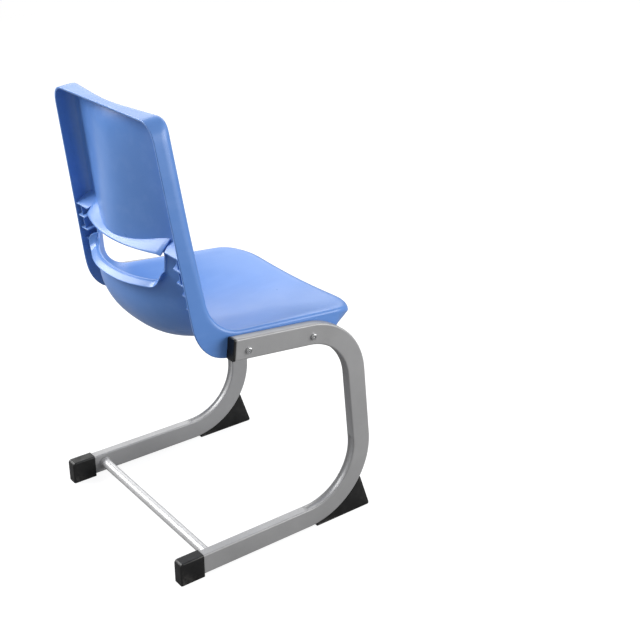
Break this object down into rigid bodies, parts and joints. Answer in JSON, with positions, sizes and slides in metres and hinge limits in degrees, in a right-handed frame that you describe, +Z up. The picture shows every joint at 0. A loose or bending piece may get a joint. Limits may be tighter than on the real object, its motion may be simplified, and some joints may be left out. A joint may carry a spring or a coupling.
{
  "type": "student desk chair",
  "caption": "Classroom chair with a one-piece moulded plastic seat shell bolted between two C-shaped bent tube side frames, with a rear cross tube and black plastic feet.",
  "frame": {"origin": "on the floor, at the centre of the chair's bounding box", "axes": "+Z up; the sitter faces -Y; +X is the sitter's left; the chair mirrors about the plane X = 0"},
  "size_m": [0.448, 0.433, 0.8278],
  "materials": {
    "shell_plastic": "satin to gloss injection-moulded polypropylene, mid blue",
    "frame_paint": "mid grey powder coat over bent steel tube",
    "foot_plastic": "black moulded plastic, fine texture",
    "zinc_steel": "bright zinc plate",
    "insert_brass": "turned brass"
  },
  "bodies": {
    "root": {"seat_shell": "shell_plastic", "rear_cross_tube": "frame_paint", "left_side_frame": "frame_paint", "left_cross_tube_weld": "frame_paint", "left_rear_foot_cap": "foot_plastic", "left_wedge_foot": "foot_plastic", "left_wedge_foot_screw": "zinc_steel", "left_arm_end_plug": "foot_plastic", "left_rear_seat_bolt": "zinc_steel", "left_rear_seat_insert": "insert_brass", "left_front_seat_bolt": "zinc_steel", "left_front_seat_insert": "insert_brass", "right_side_frame": "frame_paint", "right_cross_tube_weld": "frame_paint", "right_rear_foot_cap": "foot_plastic", "right_wedge_foot": "foot_plastic", "right_wedge_foot_screw": "zinc_steel", "right_arm_end_plug": "foot_plastic", "right_rear_seat_bolt": "zinc_steel", "right_rear_seat_insert": "insert_brass", "right_front_seat_bolt": "zinc_steel", "right_front_seat_insert": "insert_brass"}
  },
  "joints": []
}
